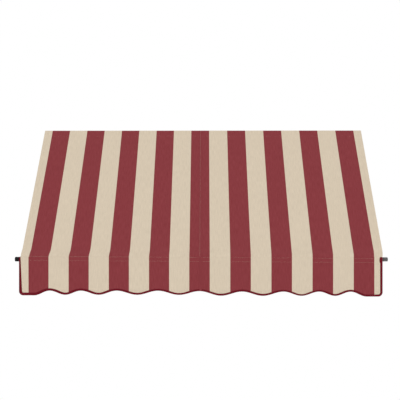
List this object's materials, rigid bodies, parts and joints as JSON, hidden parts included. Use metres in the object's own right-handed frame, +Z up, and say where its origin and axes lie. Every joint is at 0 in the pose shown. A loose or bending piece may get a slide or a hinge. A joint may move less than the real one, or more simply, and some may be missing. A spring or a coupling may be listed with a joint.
{
  "type": "window awning",
  "caption": "Striped canvas window awning on a folding steel frame, with a sloped cover between head rod and front rod, hinged side arms and a hanging valance with a bound, lobed hem.",
  "frame": {"origin": "on the wall plane, at the centre head clip's back face, level with the head rod's axis", "axes": "+X to the right as seen from the street, +Y into the wall, +Z up"},
  "size_m": [2.2722, 0.6479, 1.0618],
  "materials": {
    "striped_canvas": "matt woven canvas in wide burgundy and cream stripes",
    "burgundy_tape": "matt woven braid tape",
    "black_paint": "satin black enamel on steel",
    "zinc_plate": "bright zinc plated",
    "black_plastic": "fine moulded texture"
  },
  "bodies": {
    "root": {"cover": "striped_canvas", "head_rod": "black_paint", "head_rod_plug_left": "black_plastic", "head_rod_plug_right": "black_plastic", "head_clip_left": "black_paint", "head_clip_centre": "black_paint", "head_clip_right": "black_paint", "set_screw_left": "zinc_plate", "set_screw_centre": "zinc_plate", "set_screw_right": "zinc_plate", "wall_bracket_left": "black_paint", "wall_bracket_right": "black_paint", "wall_pin_left": "zinc_plate", "wall_pin_right": "zinc_plate", "pin_ring_left": "zinc_plate", "pin_ring_right": "zinc_plate"},
    "left_arm": {"left_arm_tube": "black_paint", "left_arm_rear_eye": "black_paint", "left_arm_front_eye": "black_paint", "left_arm_rear_screw": "zinc_plate", "left_arm_front_screw": "zinc_plate"},
    "right_arm": {"right_arm_tube": "black_paint", "right_arm_rear_eye": "black_paint", "right_arm_front_eye": "black_paint", "right_arm_rear_screw": "zinc_plate", "right_arm_front_screw": "zinc_plate"},
    "front_bar": {"front_rod": "black_paint", "front_spigot_left": "black_paint", "front_spigot_right": "black_paint", "front_washer_left": "zinc_plate", "front_washer_right": "zinc_plate", "front_end_screw_left": "zinc_plate", "front_end_screw_right": "zinc_plate", "valance": "striped_canvas", "valance_binding": "burgundy_tape"}
  },
  "joints": [
    {"name": "left_arm_fold", "type": "hinge", "parent": "root", "child": "left_arm", "pos_m": [-1.1111, -0.045, -0.8257], "axis": [-1, 0, 0], "range_deg": [0, 78], "deforming": ["cover"]},
    {"name": "right_arm_fold", "type": "hinge", "parent": "root", "child": "right_arm", "pos_m": [1.1111, -0.045, -0.8257], "axis": [-1, 0, 0], "range_deg": [0, 78]},
    {"name": "front_rod_turn", "type": "hinge", "parent": "left_arm", "child": "front_bar", "pos_m": [-1.1111, -0.6308, -0.8257], "axis": [-1, 0, 0], "range_deg": [-78, 0]}
  ],
  "couplings": [
    {"joint": "right_arm_fold", "follows": "left_arm_fold", "ratio": 1},
    {"joint": "front_rod_turn", "follows": "left_arm_fold", "ratio": -1}
  ]
}
